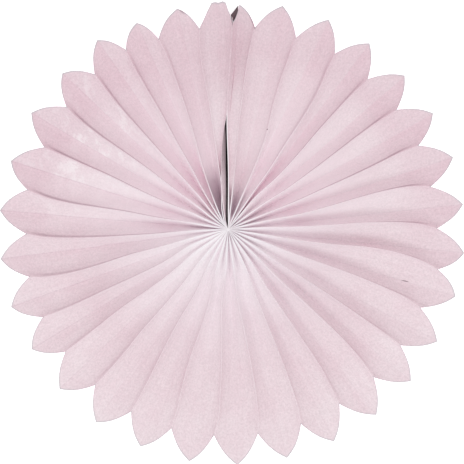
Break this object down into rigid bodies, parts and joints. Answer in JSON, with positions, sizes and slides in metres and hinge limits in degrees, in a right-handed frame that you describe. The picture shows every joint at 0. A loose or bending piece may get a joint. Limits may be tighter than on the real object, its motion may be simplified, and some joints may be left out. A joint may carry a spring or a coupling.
{
  "type": "paper fan rosette",
  "caption": "Round rosette of pleated tissue paper, opened like a fan to a full wheel with pointed petals, to lay flat or fix to a wall as a decoration.",
  "frame": {"origin": "middle of the wheel's rim, on the plane that its valley folds lie on", "axes": "+Z out of the wheel's face, +Y from the middle towards the seam"},
  "size_m": [0.2988, 0.2999, 0.0159],
  "materials": {
    "tissue_paper": "matte pale pink tissue"
  },
  "bodies": {
    "root": {"pleated_sheet": "tissue_paper"}
  },
  "joints": []
}
